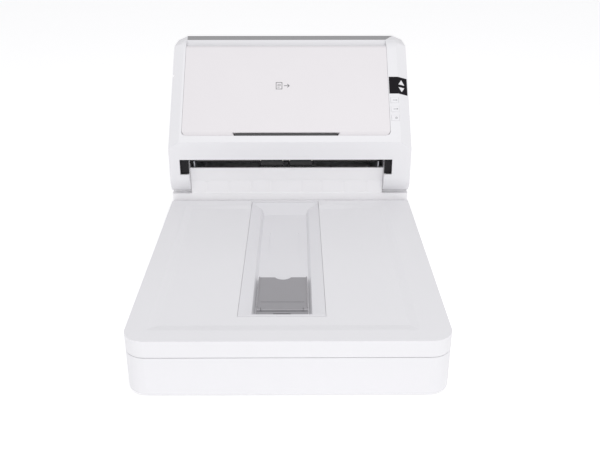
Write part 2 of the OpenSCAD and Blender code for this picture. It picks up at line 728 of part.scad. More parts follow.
// What stays in a lower corner of the recess: x is its side, s points into the recess
module recess_corner_fill(x, s) on_face() translate([0, 0, -30]) linear_extrude(height = 60)
    polygon(concat(
        [
            [x - s, recess_w0 + recess_corner],
            [x - s, recess_w0 - 1],
            [x + s * recess_corner, recess_w0 - 1]
        ],
        arc([x + s * recess_corner, recess_w0 + recess_corner], recess_corner, 270, 270 - s * 90, 10)
    ));
// The recess that the closed tray lies in, with the clearance round its hinge
module tray_recess() difference() {
    across(recess_x0, recess_x1) {
        polygon([
            on_slope(recess_w0, -20), on_slope(recess_w0, recess_d), on_slope(tray_w1 + 4, recess_d),
            on_slope(tray_w1 + 30, 0), on_slope(tray_w1 + 30, -20)
        ]);
        translate(tray_axis) circle(r = tray_axis_d + 0.4);
        polygon([for (p = [[-4, -7.4], [20, -7.4], [20, 14], [-4, 14]]) tray_axis + p]);
    }
    recess_corner_fill(recess_x0, 1);
    recess_corner_fill(recess_x1, -1);
}
module door_shell() color("whitesmoke") bench() difference() {
    union() {
        difference() {
            union() {
                across(-feeder_half, left_wall) cheek_outline();
                across(right_wall, feeder_half) cheek_outline();
            }
            // Hollow cheeks
            for (x = [[-feeder_half + wall, left_wall - wall], [right_wall + wall, feeder_half - wall]])
                intersection() {
                    across(x[0], x[1]) cheek_outline(wall);
                    across(x[0], x[1])
                        polygon([[330, 60], [480, 60], [480, 222], on_slope(95, 9.2), on_slope(-40, 9.2)]);
                }
            on_face() block([134, 28, -20], [144, 72, -wall]);
        }
        across(left_wall - 0.2, right_wall + 0.2) polygon([
            [nose_y, 124], [nose_y, nose_z], on_slope(recess_w0, 0), on_slope(recess_w0, recess_d),
            on_slope(recess_w1, recess_d), on_slope(recess_w1, 8),
            [nose_y + wall, 139.2], [nose_y + wall, 124]
        ]);
    }
    tray_recess();
    // Bevelled side strips of the face and of the ears
    on_face() for (s = [-1, 1]) translate([0, 200, 0]) rotate([90, 0, 0]) linear_extrude(height = 260)
        polygon([
            [s * bevel_x, 0], [s * (feeder_half + 1), -bevel_drop * (bevel_run + 1) / bevel_run],
            [s * (feeder_half + 1), 30], [s * bevel_x, 30]
        ]);
    bevel_strips(380, 520, ear_top);
    // Ends of the exit slot
    for (x = [[-145, left_wall + 1], [right_wall - 1, 134.5]])
        block([x[0], nose_y - 1, 103], [x[1], nose_y + 6, 124]);
    // Finger pocket under the tray's grip
    on_face() block([path_x - grip_half, recess_w0 + 0.5, -7], [path_x + grip_half, 26, 0]);
    // Bores for the hinge pins, the tray's trunnions, the pinch shafts and the latch
    rod_at(door_axis, 3 + run_gap, -137, 130);
    rod_at(tray_axis, trunnion_r + run_gap, -146, 136);
    rod_at(transport_pinch_c, pinch_shaft_r + run_gap, -137, 128);
    rod_at(exit_pinch_c, pinch_shaft_r + run_gap, -137, 128);
    rod_at(separation_c, 2 + run_gap, -137, 128);
    rod_at(latch_axis, 1.5 + run_gap, -156, -145);
    // Keys, window and its two keys
    for (w = key_ws) on_face() block(
        [key_x0 - key_gap, w - key_half - key_gap, -6],
        [key_x1 + key_gap, w + key_half + key_gap, 1]
    );
    on_face() block([132.6, 71.8, -1.5], [bevel_x, 97.6, 1]);
    on_bevel() block([-0.7, 71.8, -1.5], [14.2, 97.6, 1]);
    for (w = arrow_ws) arrow_hole(w, -14, 14);
    // Latch slot and its thumb opening
    across(-154.4, -146.6) polygon([
        [414.5, 202], [433, 202], [438, 214], [456, 224],
        [456, 234], [436, 233], [426, 229.6], [414.5, 214]
    ]);
    block([-feeder_half - 1, 414.5, 203], [-153, 432, 217]);
}

module door_latch() color("gainsboro") bench() {
    rod_at(latch_axis, 3, -154, -147);
    rod_at(latch_axis, 1.5, -155.8, -145.2);
    across(-154, -147) {
        polygon([[430, 223.6], [451, 223.6], [451, 228], [430, 228]]);
        polygon([[447, 221.2], [451, 221.2], [451, 225], [447, 225]]);
        polygon([[427.2, 226], [433, 225], [427, 206], [417, 206], [417, 211.5]]);
    }
    across(-157.2, -153.4) polygon([[417, 206], [425.2, 206], [425.2, 214], [418.5, 214], [417, 211.5]]);
}

module door_guide() color("lightgray") bench() difference() {
    across(guide_x0 - 1.2, guide_x1 + 1.2) polygon([
        feed_point(17, 1.8), feed_point(exit_run - 2, 1.8), feed_point(exit_run + 2, 1.1),
        feed_point(exit_run + 66, 1.1), on_slope(85, 8), on_slope(83, 8), feed_point(exit_run + 64.5, 2.6),
        feed_point(exit_run + 1.4, 2.6), feed_point(exit_run - 2.4, 3.3), feed_point(17, 3.3)
    ]);
    on_path() block([path_x - 112.5, 2.7, -1], [path_x + 112.5, 19.3, 6]);
    on_path() block(
        [path_x - 18, path_place(feed_c) - 10, -1],
        [path_x + 18, path_place(feed_c) + 17, 30]
    );
    for (s = [-1, 1]) transport_window(path_x + s * transport_off, 6, -1, 6);
}
module exit_liner() color("black") bench() {
    across(left_wall + 0.3, right_wall - 0.3)
        polygon([
            [nose_y + wall, 124], [nose_y + 4, 122.2], feed_point(7, 1.8), feed_point(5, 5),
            [346, 131], [nose_y + wall, 131]
        ]);
    for (x = [[-144.8, left_wall - 0.2], [right_wall + 0.2, 134.3]])
        block([x[0], nose_y + 4, 103.2], [x[1], nose_y + 6, 123.8]);
}
module front_sensor_bar() color("darkslategray") bench() {
    path_plate(3, 19, 2.1, 13, path_x - sensor_half, path_x + sensor_half);
    path_plate(11, 18, 8, 13, left_wall, right_wall);
}
module front_sensor_glass() color("slategray") bench()
    path_plate(3, 19, 1.1, 2.1, path_x - sensor_half, path_x + sensor_half);
module display_window() color("black") bench() difference() {
    union() {
        on_face() block([window_x0, window_ws[0], -1.5], [bevel_x, window_ws[1], 0]);
        on_bevel() block([-0.35, window_ws[0], -1.5], [14, window_ws[1], 0]);
    }
    for (w = arrow_ws) arrow_hole(w, -5, 10);
}
module button_board() color("seagreen") bench() on_face() {
    block([127.5, 26, -13], [150, 94, -11.4]);
    for (w = [30, 75]) translate([130, w, -11.4]) cylinder(r = 1.5, h = 2.2);
}
module grip_trim() color("dimgray") bench() on_face()
    union() {
        block([path_x - grip_half + 0.2, recess_w0 + 0.7, -7], [path_x + grip_half - 0.2, 25.8, -5.6]);
        // Lip that fills the notch in the tray's lower edge
        block([path_x - 66, recess_w0 + 0.7, -6], [path_x + 66, recess_w0 + 4, -1.2]);
    }

// A key with its stem
module key(w) on_face() {
    block([key_x0, w - key_half, -2.2], [key_x1, w + key_half, 0.3]);
    translate([(key_x0 + key_x1) / 2, w, -10.2]) cylinder(r = 2, h = 9);
}
module cancel_button() color("white") bench() key(key_ws[2]);
module scan_button() color("white") bench() key(key_ws[1]);
module power_button() color("white") bench() key(key_ws[0]);
// A triangular key between its base line and its point, with its stem
module arrow_key(w) on_bevel() {
    translate([0, 0, -3]) linear_extrude(height = 3.3)
        polygon([[arrow_in - arrow_half, w[0]], [arrow_in + arrow_half, w[0]], [arrow_in, w[1]]]);
    translate([arrow_in, w[0] + 0.3 * (w[1] - w[0]), -8.5]) cylinder(r = 1.6, h = 7);
}
module up_button() color("white") bench() arrow_key(arrow_ws[1]);
module down_button() color("white") bench() arrow_key(arrow_ws[0]);

module separation_roller() color("darkslategray") bench() {
    rod_at(separation_c, 2, left_wall - 2, right_wall + 2);
    rod_at(separation_c, separation_r, path_x - 17, path_x + 17);
}
// Two small rollers on a thin shaft
module pinch_pair(c, x) {
    rod_at(c, pinch_shaft_r, left_wall - 2, right_wall + 2);
    for (s = [-1, 1]) rod_at(c, pinch_r, path_x + s * x - 7, path_x + s * x + 7);
}
module transport_pinch_rollers() color("white") bench() pinch_pair(transport_pinch_c, transport_off);
module exit_pinch_rollers() color("white") bench() pinch_pair(exit_pinch_c, exit_off);

/* ---- Input tray ---- */
// An outline on the face from a lower edge w0 upwards, with rounded lower corners
module lower_round(x0, x1, w0, r) {
    translate([x0, w0 + r]) square([x1 - x0, tray_w1 + 20 - w0 - r]);
    translate([x0 + r, w0]) square([x1 - x0 - 2 * r, r + 1]);
    for (x = [x0 + r, x1 - r]) translate([x, w0 + r]) circle(r = r);
}
module tray_panel() color("whitesmoke") bench() {
    difference() {
        intersection() {
            on_face() translate([0, 0, -20]) linear_extrude(height = 40)
                lower_round(tray_x0, tray_x1, tray_w0, tray_corner);
            across(tray_x0, tray_x1) polygon(concat(
                [on_slope(tray_w0, tray_t), on_slope(tray_w0, 2.4), on_slope(tray_w0 + 5.5, 0)],
                arc(tray_axis, tray_axis_d, 135, 70, 8),
                arc(tray_axis, tray_axis_d - tray_skin, 70, 135, 8),
                [on_slope(tray_w1, tray_t)]
            ));
        }
        on_face() block([tray_x0 + 2.2, tray_w0 + 8, -20], [tray_x1 - 2.2, tray_w1 - 6, -tray_skin]);
        // Finger notch in the lower edge
        on_face() translate([0, 0, -10]) linear_extrude(height = 20)
            polygon([
                [path_x - notch_half, tray_w0 - 1], [path_x + notch_half, tray_w0 - 1],
                [path_x + notch_half + 4, tray_w0 + 4.6], [path_x - notch_half - 4, tray_w0 + 4.6]
            ]);
    }
    for (x = [tray_x0, tray_x1 - 4.4]) rod_at(tray_axis, tray_axis_d - 0.4, x, x + 4.4);
    rod_at(tray_axis, trunnion_r, tray_x0 - 4, tray_x0 + 1);
    rod_at(tray_axis, trunnion_r, tray_x1 - 1, tray_x1 + 4);
    // Pin of the guide pinion
    on_face() translate([path_x, guide_w, -3.6]) cylinder(r = 1.5, h = 2.3);
}
module tray_liner() color("gainsboro") bench() difference() {
    on_face() block(
        [tray_x0 + 2.3, tray_w0 + 8.1, -tray_t],
        [tray_x1 - 2.3, tray_w1 - 6.1, -tray_t + 1.2]
    );
    // Slots that the guides' feet run in
    for (s = [-1, 1], mid = path_x + s * 75.8, w = guide_w - s * 10)
        on_face() block([mid - 51.8, w - 2.2, -10], [mid + 51.8, w + 2.2, 0]);
}
// A rack whose teeth point to the pinion, drawn with the pinion at the origin and its guide at -x
module rack_outline() {
    n = 21;
    translate([-sheet_w / 2 - 5, rack_pitch_r + 0.9]) square([sheet_w / 2 + 12, 4]);
    for (i = [-n:1]) translate([(i + 0.5) * PI, rack_pitch_r])
        polygon([[-1.1, 1.3], [1.1, 1.3], [0.62, 0], [0.36, -0.75], [-0.36, -0.75], [-0.62, 0]]);
}
module width_guide(side) on_face() translate([path_x, guide_w, 0]) rotate([0, 0, side < 0 ? 0 : 180]) {
    translate([0, 0, -3.45]) linear_extrude(height = 1.4) rack_outline();
    // Foot through the liner, and the tall fence
    block([-sheet_w / 2 - 5, 8.6, -6], [-sheet_w / 2 - 1, 11.4, -3]);
    translate([-sheet_w / 2 - 6, 0, 0]) rotate([90, 0, 90]) linear_extrude(height = 6) {
        w0 = side < 0 ? -12 : -13;
        w1 = side < 0 ? 13 : 12;
        polygon([
            [w0, -tray_t - 0.2], [w1, -tray_t - 0.2], [w1, -tray_t - 8],
            [w0 + 2, -tray_t - 9.5], [w0, -tray_t - 9.5]
        ]);
    }
}
module left_guide() color("gray") bench() width_guide(-1);
module right_guide() color("gray") bench() width_guide(1);
module guide_pinion() color("white") bench() on_face() translate([path_x, guide_w, -3.45]) difference() {
    linear_extrude(height = 1.4) rotate([0, 0, 90]) gear_outline(14, 1, 0.18);
    translate([0, 0, -1]) cylinder(r = 1.5 + run_gap, h = 4);
}

base_tub();
rubber_feet();
platen_frame();
platen_glass();
guide_rod();
carriage_belt();
flatbed_motor();
main_board();
usb_socket();
dc_inlet();
rear_plinth();
rear_housing();
side_frames();
paper_guide();
exit_chute();
rear_sensor_bar();
rear_sensor_glass();
adf_motor();
upper_drive_belt();
exit_drive_belt();
lid_hinge_pins();
door_hinge_pins();
housing_screws();
carriage_frame();
flatbed_sensor_bar();
drive_pulley();
idler_pulley();
motor_pinion();
lid_shell();
lid_liner();
document_pad();
channel_insert();
stop_bracket();
paper_stop();
door_shell();
door_guide();
exit_liner();
front_sensor_bar();
front_sensor_glass();
display_window();
button_board();
grip_trim();
up_button();
down_button();
cancel_button();
scan_button();
power_button();
door_latch();
separation_roller();
transport_pinch_rollers();
exit_pinch_rollers();
tray_panel();
tray_liner();
left_guide();
right_guide();
guide_pinion();
feed_roller();
transport_roller();
exit_roller();
adf_motor_pulley();
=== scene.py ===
"""Looks of a desktop document scanner, built round its packed mechanical model.

The flatbed base, its lid, the sheet feeder and its folding tray come from the model's own
nodes: outer shells and keys are copied, rounded along their edges and dressed, and small
prints and roller tips are added. Lengths are in metres and +Z is up.
"""
import json
import logging
import math
from dataclasses import dataclass, field
from enum import Enum
from typing import Callable, Sequence

import bmesh
import bpy
from mathutils import Matrix, Vector


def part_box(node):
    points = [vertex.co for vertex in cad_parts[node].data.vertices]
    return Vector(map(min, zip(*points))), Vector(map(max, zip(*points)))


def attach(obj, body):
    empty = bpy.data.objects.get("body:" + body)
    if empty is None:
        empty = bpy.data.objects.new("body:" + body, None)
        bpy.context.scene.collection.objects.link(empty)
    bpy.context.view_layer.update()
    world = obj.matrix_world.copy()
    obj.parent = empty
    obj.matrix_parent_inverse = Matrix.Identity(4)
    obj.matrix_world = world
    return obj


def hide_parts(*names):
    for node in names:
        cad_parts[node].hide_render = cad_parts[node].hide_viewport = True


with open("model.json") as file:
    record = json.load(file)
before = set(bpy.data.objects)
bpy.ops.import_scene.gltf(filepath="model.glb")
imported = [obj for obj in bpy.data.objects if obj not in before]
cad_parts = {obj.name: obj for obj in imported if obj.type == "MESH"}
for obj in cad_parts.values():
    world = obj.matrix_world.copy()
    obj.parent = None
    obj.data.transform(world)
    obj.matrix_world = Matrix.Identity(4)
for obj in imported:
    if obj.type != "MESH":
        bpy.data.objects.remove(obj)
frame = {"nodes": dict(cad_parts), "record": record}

LOG = logging.getLogger("scanner")
MM = 0.001
# How close an edge lies to a face that it belongs to
NEAR = 0.1 * MM
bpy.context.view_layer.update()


class Tone(Enum):
    """Linear base colours of the mouldings and inks. The lighter white, the chute's and the plinth's, is
    painted light: the same white plastic made lighter for faces that get less light. The housing top's grey
    and the grip's near black are painted shade.
    """

    WHITE = (0.800, 0.795, 0.815)
    # Painted light: the chute's and the plinth's white plastic, made lighter for faces that get less light
    PAINTED_LIGHT_WHITE = (0.900, 0.893, 0.905)
    PANEL = (0.770, 0.745, 0.762)
    CHANNEL = (0.765, 0.760, 0.785)
    # Painted shade: the darker look of the housing's level top, seen at a grazing angle
    TOP_SHADE = (0.300, 0.296, 0.304)
    MID_GREY = (0.300, 0.293, 0.310)
    # Painted shade: the finger recess's shade laid into its trim's colour, near black
    GRIP_SHADE = (0.062, 0.060, 0.062)
    BLACK = (0.010, 0.009, 0.011)
    ACETAL = (0.72, 0.69, 0.60)
    INK = (0.16, 0.16, 0.17)
    PRINT_WHITE = (0.86, 0.86, 0.87)


class Value:
    """A shader number that can be used in Python arithmetic."""

    def __init__(self, graph: "Graph", socket: bpy.types.NodeSocket) -> None:
        """Keeps the socket and the graph that it belongs to."""
        self.graph = graph
        self.socket = socket

    def _math(self, operation: str, first: object, second: object) -> "Value":
        """Adds one Math node of two inputs."""
        return self.graph.node("ShaderNodeMath", {"operation": operation}, {0: first, 1: second})

    def __add__(self, other: object) -> "Value":
        """Sum."""
        return self._math("ADD", self, other)

    __radd__ = __add__

    def __sub__(self, other: object) -> "Value":
        """Difference."""
        return self._math("SUBTRACT", self, other)

    def __rsub__(self, other: object) -> "Value":
        """Difference from a number."""
        return self._math("SUBTRACT", other, self)

    def __mul__(self, other: object) -> "Value":
        """Product."""
        return self._math("MULTIPLY", self, other)

    __rmul__ = __mul__


class Graph:
    """Builds one material's nodes."""

    def __init__(self, name: str) -> None:
        """Starts a material with an empty tree, an output and one Principled shader.

        Args:
            name: The material's name.
        """
        self.material = bpy.data.materials.new(name)
        self.material.use_nodes = True
        self.tree = self.material.node_tree
        self.tree.nodes.clear()
        self.shader = self.tree.nodes.new("ShaderNodeBsdfPrincipled")
        output = self.tree.nodes.new("ShaderNodeOutputMaterial")
        self.tree.links.new(self.shader.outputs[0], output.inputs[0])

    def node(self, kind: str, settings: dict[str, object], values: dict[object, object],
             out: object = 0) -> Value:
        """Adds a node, sets it and feeds its sockets.

        Args:
            kind: The node's type.
            settings: Properties that are set before the sockets are fed.
            values: Numbers, colours, vectors or Values by socket name or number.
            out: Name or number of the output that is handed back.

        Returns:
            The chosen output.
        """
        made = self.tree.nodes.new(kind)
        for key, setting in settings.items():
            setattr(made, key, setting)
        for key, value in values.items():
            self.feed(made.inputs[key], value)
        return Value(self, made.outputs[out])

    def feed(self, socket: bpy.types.NodeSocket, value: object) -> None:
        """Links a Value to a socket, or sets a plain number or colour on it."""
        if isinstance(value, Value):
            self.tree.links.new(value.socket, socket)
        else:
            socket.default_value = value

    def set(self, **sockets: object) -> None:
        """Feeds the shader's sockets, whose names have underscores for spaces."""
        for name, value in sockets.items():
            self.feed(self.shader.inputs[name.replace("_", " ")], value)

    def place(self, scale: Sequence[float] = (1, 1, 1)) -> Value:
        """Object coordinates, stretched by a scale."""
        where = self.node("ShaderNodeTexCoord", {}, {}, "Object")
        return self.node("ShaderNodeMapping", {}, {"Vector": where, "Scale": tuple(scale)})

    def noise(self, scale: float, detail: float = 2.0, place: Value | None = None) -> Value:
        """A noise between 0 and 1 of a given scale per metre."""
        return self.node("ShaderNodeTexNoise", {}, {
            "Vector": place or self.place(), "Scale": scale, "Detail": detail, "Roughness": 0.55})

    def tint(self, mask: Value, low: Sequence[float], high: Sequence[float]) -> Value:
        """A colour between two colours.

        Args:
            mask: 0 for the low colour, 1 for the high one.
            low: Linear red, green and blue.
            high: Linear red, green and blue.

        Returns:
            The mixed colour.
        """
        return self.node("ShaderNodeMix", {"data_type": "RGBA"}, {
            0: mask, 6: (*low, 1.0), 7: (*high, 1.0)}, 2)

    def bump(self, height: Value, depth: float, strength: float = 1.0) -> Value:
        """A normal from a height that runs from 0 to 1 over a depth in metres."""
        return self.node("ShaderNodeBump", {}, {
            "Height": height, "Distance": depth, "Strength": strength})


def shade(colour: Sequence[float], factor: float) -> tuple[float, ...]:
    """A colour made lighter or darker by a factor."""
    return tuple(min(1.0, part * factor) for part in colour)


@dataclass(frozen=True)
class Moulding:
    """Injection moulded plastic with a fine spark-eroded grain and slight flow marks."""

    name: str
    tone: Tone
    roughness: float = 0.42
    grain_per_m: float = 2600.0
    grain_depth: float = 0.012 * MM
    mottle: float = 0.018
    coat: float = 0.0
    shine: float = 0.5

    def make(self) -> bpy.types.Material:
        """Builds the material."""
        graph = Graph(self.name)
        grain = graph.noise(self.grain_per_m, 3.0)
        cloud = graph.noise(9.0, 3.0)
        streak = graph.noise(30.0, 2.0, graph.place((1.0, 0.12, 1.0)))
        mask = cloud * 0.6 + streak * 0.4
        colour = self.tone.value
        graph.set(
            Base_Color=graph.tint(mask, shade(colour, 1 - self.mottle), shade(colour, 1 + self.mottle)),
            Roughness=self.roughness - 0.05 + cloud * 0.07 + grain * 0.04,
            Normal=graph.bump(grain, self.grain_depth, 0.6),
            Coat_Weight=self.coat, Coat_Roughness=0.12, Specular_IOR_Level=self.shine)
        return graph.material


@dataclass(frozen=True)
class GlossPlate:
    """Polished black plastic with faint wiping marks."""

    name: str

    def make(self) -> bpy.types.Material:
        """Builds the material."""
        graph = Graph(self.name)
        wipe = graph.noise(60.0, 3.0, graph.place((1.0, 4.0, 1.0)))
        graph.set(
            Base_Color=graph.tint(wipe, Tone.BLACK.value, shade(Tone.BLACK.value, 1.5)),
            Roughness=0.10 + wipe * 0.08, Specular_IOR_Level=0.08,
            Normal=graph.bump(wipe, 0.004 * MM, 0.4))
        return graph.material


@dataclass(frozen=True)
class Rubber:
    """Ground or moulded rubber, dull and dusty."""

    name: str
    value: float = 0.022

    def make(self) -> bpy.types.Material:
        """Builds the material."""
        graph = Graph(self.name)
        grit = graph.noise(1800.0, 3.0)
        dust = graph.noise(40.0, 4.0)
        low = (self.value,) * 3
        graph.set(
            Base_Color=graph.tint(dust, low, shade(low, 2.1)),
            Roughness=0.72 + grit * 0.16, Normal=graph.bump(grit, 0.03 * MM, 0.7))
        return graph.material


@dataclass(frozen=True)
class Metal:
    """Turned, drawn or plated metal, brushed along one direction."""

    name: str
    colour: tuple[float, float, float]
    brush: tuple[float, float, float] = (0.02, 1.0, 1.0)
    roughness: float = 0.26

    def make(self) -> bpy.types.Material:
        """Builds the material."""
        graph = Graph(self.name)
        hair = graph.noise(2200.0, 2.0, graph.place(self.brush))
        stain = graph.noise(55.0, 3.0)
        graph.set(
            Base_Color=graph.tint(stain, shade(self.colour, 0.86), self.colour), Metallic=1.0,
            Roughness=self.roughness + hair * 0.12 + stain * 0.05,
            Normal=graph.bump(hair, 0.006 * MM, 0.5))
        return graph.material


@dataclass(frozen=True)
class Glass:
    """Thin clear glass, seen mostly by its shine and a grey-green body."""

    name: str

    def make(self) -> bpy.types.Material:
        """Builds the material."""
        graph = Graph(self.name)
        film = graph.noise(25.0, 3.0)
        graph.set(
            Base_Color=graph.tint(film, (0.16, 0.18, 0.18), (0.20, 0.22, 0.22)),
            Roughness=0.03 + film * 0.03, Alpha=0.42, Coat_Weight=0.6, Coat_Roughness=0.02)
        return graph.material


@dataclass(frozen=True)
class CircuitBoard:
    """Green solder mask with faint copper tracks under it."""

    name: str

    def make(self) -> bpy.types.Material:
        """Builds the material."""
        graph = Graph(self.name)
        tracks = graph.node("ShaderNodeTexBrick", {}, {
            "Vector": graph.place(), "Scale": 160.0, "Mortar Size": 0.06}, "Fac")
        cloud = graph.noise(30.0)
        mask = tracks * 0.7 + cloud * 0.3
        graph.set(
            Base_Color=graph.tint(mask, (0.012, 0.11, 0.045), (0.03, 0.20, 0.09)),
            Roughness=0.28 + cloud * 0.1, Normal=graph.bump(tracks, 0.03 * MM, 0.8))
        return graph.material


@dataclass(frozen=True)
class Foam:
    """White backing foam under a smooth film."""

    name: str

    def make(self) -> bpy.types.Material:
        """Builds the material."""
        graph = Graph(self.name)
        cells = graph.node("ShaderNodeTexVoronoi", {}, {
            "Vector": graph.place(), "Scale": 900.0}, "Distance")
        soil = graph.noise(12.0, 3.0)
        graph.set(
            Base_Color=graph.tint(soil, (0.80, 0.80, 0.79), (0.88, 0.88, 0.87)),
            Roughness=0.62 + cells * 0.12, Normal=graph.bump(cells, 0.04 * MM, 0.5))
        return graph.material


@dataclass(frozen=True)
class Ink:
    """Pad-printed ink."""

    name: str
    tone: Tone

    def make(self) -> bpy.types.Material:
        """Builds the material."""
        graph = Graph(self.name)
        fleck = graph.noise(4000.0, 2.0)
        colour = self.tone.value
        graph.set(Base_Color=graph.tint(fleck, shade(colour, 0.9), shade(colour, 1.06)),
                  Roughness=0.45 + fleck * 0.1, Normal=graph.bump(fleck, 0.004 * MM, 0.4))
        return graph.material


class Finishes:
    """The workshop's shelf of finishes, one material per record slot and a few extra."""

    def __init__(self) -> None:
        """Builds every material once."""
        shelf = {
            "white_plastic": Moulding("white_shell", Tone.WHITE),
            # Painted light: a lighter copy of the white plastic for the chute and the plinth
            "painted_light_plastic": Moulding("painted_light_shell", Tone.PAINTED_LIGHT_WHITE),
            "tray_plastic": Moulding("tray_shell", Tone.PANEL, roughness=0.36),
            "channel_plastic": Moulding("channel_grey", Tone.CHANNEL, roughness=0.4),
            "grey_plastic": Moulding("stop_grey", Tone.MID_GREY, roughness=0.3, coat=0.25),
            "dark_plastic": Moulding("liner_black", Tone.BLACK, roughness=0.5, mottle=0.2, shine=0.25),
            # Painted shade: the grip trim's near black stands for the shade of its finger recess
            "grip_shade_plastic": Moulding("grip_painted_shade", Tone.GRIP_SHADE, roughness=0.45, mottle=0.08, shine=0.3),
            # Painted shade for the housing's level top, not a separate grey part
            "top_shade_plastic": Moulding("top_painted_shade", Tone.TOP_SHADE, roughness=0.5, mottle=0.03),
            "pulley_plastic": Moulding("acetal", Tone.ACETAL, roughness=0.35),
            "gloss_black": GlossPlate("window_black"),
            "rubber": Rubber("roller_rubber"),
            "belt_rubber": Rubber("belt_rubber", 0.018),
            "glass": Glass("platen_glass"),
            "steel": Metal("ground_steel", (0.62, 0.62, 0.64)),
            "motor_steel": Metal("plated_motor", (0.46, 0.46, 0.48), (1.0, 1.0, 0.02), 0.32),
            "zinc_sheet": Metal("zinc_sheet", (0.58, 0.60, 0.62), (1.0, 0.03, 1.0), 0.38),
            "brass": Metal("turned_brass", (0.78, 0.58, 0.27)),
            "board": CircuitBoard("circuit_board"),
            "pad_foam": Foam("backing_foam"),
            "ink": Ink("grey_ink", Tone.INK),
            "white_ink": Ink("white_ink", Tone.PRINT_WHITE),
        }
        self.materials = {key: finish.make() for key, finish in shelf.items()}

    def dress(self, piece: bpy.types.Object, key: str) -> None:
        """Puts one finish on a whole piece."""
        piece.data.materials.clear()
        piece.data.materials.append(self.materials[key])


def node_box(node: str) -> tuple[Vector, Vector]:
    """Lowest and highest corner of a node of the mechanical model."""
    low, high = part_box(node)
    return Vector(low), Vector(high)


def finish_mesh(name: str, bm: bmesh.types.BMesh, body: str, sharp_deg: float = 32.0,
                weighted: bool = True) -> bpy.types.Object:
    """Turns a bmesh into a piece that rides on a body.

    Args:
        name: The piece's name.
        bm: The mesh, which is freed.
        body: The mechanical body that carries the piece.
        sharp_deg: Edges that turn more than this stay crisp.
        weighted: Whether flat faces keep flat shading beside rounded edges.

    Returns:
        The piece.
    """
    for face in bm.faces:
        face.smooth = True
    for edge in bm.edges:
        edge.smooth = not edge.is_manifold or edge.calc_face_angle(0.0) < math.radians(sharp_deg)
    mesh = bpy.data.meshes.new(name)
    bm.to_mesh(mesh)
    bm.free()
    piece = bpy.data.objects.new(name, mesh)
    bpy.context.scene.collection.objects.link(piece)
    if weighted:
        even = piece.modifiers.new("even_shading", "WEIGHTED_NORMAL")
        even.keep_sharp = True
        even.weight = 80
    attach(piece, body)
    return piece


Picker = Callable[[Vector, float], bool]


@dataclass
class Rounding:
    """One pass of edge rounding on a shell: which edges, how wide, and in how many steps."""

    width: float
    pick: Picker
    steps: int = 3


def rounded_copy(node: str, name: str, body: str, passes: Sequence[Rounding]) -> bpy.types.Object:
    """Copies a node's mesh, welds it and rounds chosen edges.

    Args:
        node: The node that the copy stands for.
        name: The new piece's name.
        body: The body that carries it.
        passes: Roundings, done in order. A picker gets an edge's middle and its turn in degrees.

    Returns:
        The piece, which replaces the node.
    """
    bm = bmesh.new()
    bm.from_mesh(frame["nodes"][node].data)
    bmesh.ops.remove_doubles(bm, verts=bm.verts, dist=0.004 * MM)
    bmesh.ops.dissolve_degenerate(bm, edges=bm.edges, dist=0.004 * MM)
    bmesh.ops.dissolve_limit(bm, angle_limit=math.radians(0.6), verts=bm.verts, edges=bm.edges)
    for rounding in passes:
        chosen = []
        for edge in bm.edges:
            if edge.is_manifold:
                middle = (edge.verts[0].co + edge.verts[1].co) / 2
                if rounding.pick(middle, math.degrees(edge.calc_face_angle(0.0))):
                    chosen.append(edge)
        bmesh.ops.bevel(bm, geom=chosen, offset=rounding.width, offset_type="OFFSET", affect="EDGES",
                        segments=rounding.steps, profile=0.5, material=-1, clamp_overlap=True)
    bmesh.ops.triangulate(bm, faces=[face for face in bm.faces if len(face.verts) > 4])
    piece = finish_mesh(name, bm, body)
    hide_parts(node)
    return piece


@dataclass(frozen=True)
class Slope:
    """The place of the feeder's sloping face."""

    nose_y: float = 82.5 * MM
    nose_z: float = 148.0 * MM
    tilt: float = math.radians(45)

    def face(self, x: float, w: float, out: float = 0.0) -> Matrix:
        """A frame on the face: x across, y up the slope, z outwards. Lengths in millimetres."""
        return (Matrix.Translation((0, self.nose_y, self.nose_z)) @ Matrix.Rotation(self.tilt, 4, "X")
                @ Matrix.Translation((x * MM, w * MM, out * MM)))


class Printing:
    """A flat print, drawn in millimetres on one frame and built as one thin piece."""

    def __init__(self, where: Matrix, thickness: float = 0.04) -> None:
        """Starts an empty print.

        Args:
            where: The frame of the printed surface.
            thickness: How far the ink stands out, in millimetres.
        """
        self.where = where
        self.thickness = thickness
        self.bm = bmesh.new()

    def bar(self, x: float, y: float, width: float, height: float, turn: float = 0.0) -> "Printing":
        """Adds a bar about a middle, turned by degrees."""
        matrix = (self.where @ Matrix.Translation((x * MM, y * MM, self.thickness * MM / 2))
                  @ Matrix.Rotation(math.radians(turn), 4, "Z")
                  @ Matrix.Diagonal((width * MM, height * MM, self.thickness * MM, 1)))
        bmesh.ops.create_cube(self.bm, size=1.0, matrix=matrix)
        return self

    def ring(self, x: float, y: float, radius: float, line: float, gap: float = 0.0) -> "Printing":
        """Adds a ring, open at its top by a gap in degrees."""
        steps = 24
        sweep = 360.0 - gap
        length = 2 * math.pi * radius * sweep / 360 / steps * 1.15
        for step in range(steps):
            angle = 90 + gap / 2 + sweep * (step + 0.5) / steps
            spot = Vector((math.cos(math.radians(angle)), math.sin(math.radians(angle)))) * radius
            self.bar(x + spot.x, y + spot.y, length, line, angle + 90)
        return self

    def finish(self, name: str, body: str, shelf: Finishes, ink: str) -> bpy.types.Object:
        """Turns the print into a piece."""
        piece = finish_mesh(name, self.bm, body, weighted=False)
        shelf.dress(piece, ink)
        return piece


